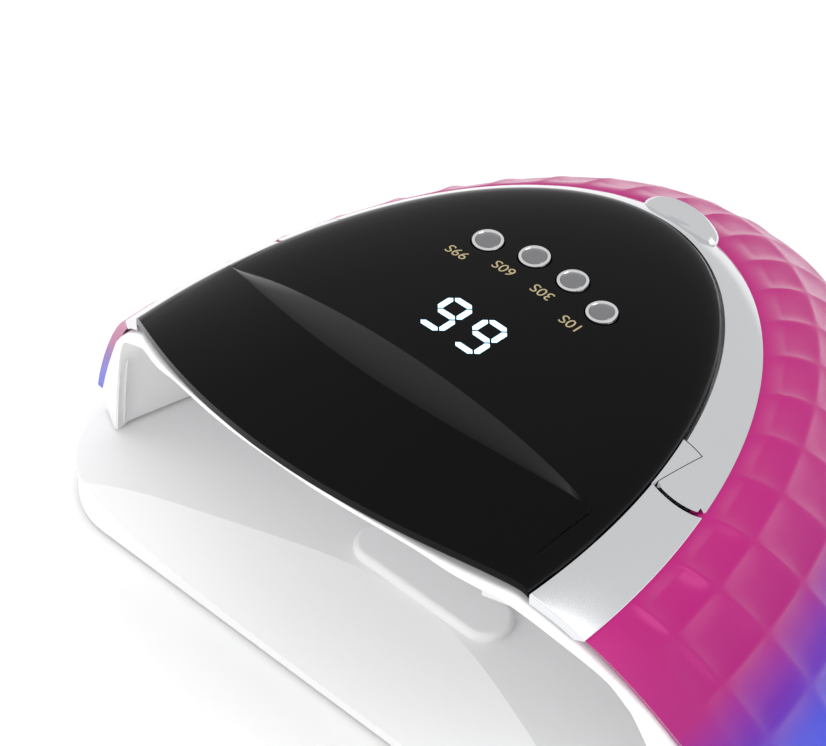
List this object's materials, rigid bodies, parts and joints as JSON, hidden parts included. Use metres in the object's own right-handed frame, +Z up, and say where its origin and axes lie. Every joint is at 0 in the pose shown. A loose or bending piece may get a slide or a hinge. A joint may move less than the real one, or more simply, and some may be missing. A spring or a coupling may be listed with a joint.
{
  "type": "uv led nail lamp",
  "caption": "Domed UV/LED nail curing lamp with a gloss control panel, time buttons, a chrome folding carry handle, a quilted shell and a lift-off base tray.",
  "frame": {"origin": "middle of the footprint, on the surface the lamp stands on", "axes": "+X is the right-hand side seen from in front of the hand opening, +Y runs from the hand opening to the back, +Z is up"},
  "size_m": [0.2242, 0.195, 0.0991],
  "materials": {
    "white_gloss": "glossy white moulded plastic",
    "foot_rubber": "soft grey rubber",
    "magnet_nickel": "nickel plated magnet",
    "shell_tint": "gloss magenta fading to blue, quilted",
    "steel_zinc": "zinc plated steel",
    "panel_black": "high gloss black",
    "frame_white": "satin moulded plastic",
    "trim_chrome": "bright chrome plated plastic",
    "bush_nylon": "natural nylon",
    "board_green": "solder mask",
    "switch_black": "black moulded plastic",
    "display_black": "smoked display face",
    "button_chrome": "polished domed metal",
    "board_aluminium": "white coated aluminium board",
    "led_lens": "clear domed lens",
    "sensor_black": "dark infrared window"
  },
  "bodies": {
    "tray": {"base_tray": "white_gloss", "rubber_feet": "foot_rubber", "tray_magnets": "magnet_nickel"},
    "head": {"outer_shell": "shell_tint", "inner_liner": "white_gloss", "mouth_bezel": "white_gloss", "base_ring": "white_gloss", "keeper_plates": "steel_zinc", "assembly_screws": "steel_zinc", "control_panel": "panel_black", "top_frame": "frame_white", "front_trim_left": "trim_chrome", "front_trim_right": "trim_chrome", "handle_bushes": "bush_nylon", "control_pcb": "board_green", "pcb_screws": "steel_zinc", "tact_switches": "switch_black", "display_module": "display_black", "led_board_top": "board_aluminium", "led_boards_side": "board_aluminium", "led_beads": "led_lens", "sensor_windows": "sensor_black", "dc_jack": "switch_black"},
    "handle": {"carry_handle": "trim_chrome", "handle_pins": "steel_zinc"},
    "key_10s": {"button_10s": "button_chrome"},
    "key_30s": {"button_30s": "button_chrome"},
    "key_60s": {"button_60s": "button_chrome"},
    "key_99s": {"button_99s": "button_chrome"}
  },
  "joints": [
    {"name": "head_lift", "type": "slide", "parent": "tray", "child": "head", "axis": [0, 0, 1], "range_m": [0, 0.06]},
    {"name": "handle_fold", "type": "hinge", "parent": "head", "child": "handle", "pos_m": [0, -0.027, 0.077], "axis": [1, 0, 0], "range_deg": [0, 88]},
    {"name": "press_10s", "type": "slide", "parent": "head", "child": "key_10s", "axis": [0, 0, -1], "range_m": [0, 0.0007], "stiffness_N_per_m": 600},
    {"name": "press_30s", "type": "slide", "parent": "head", "child": "key_30s", "axis": [0, 0, -1], "range_m": [0, 0.0007], "stiffness_N_per_m": 600},
    {"name": "press_60s", "type": "slide", "parent": "head", "child": "key_60s", "axis": [0, 0, -1], "range_m": [0, 0.0007], "stiffness_N_per_m": 600},
    {"name": "press_99s", "type": "slide", "parent": "head", "child": "key_99s", "axis": [0, 0, -1], "range_m": [0, 0.0007], "stiffness_N_per_m": 600}
  ]
}
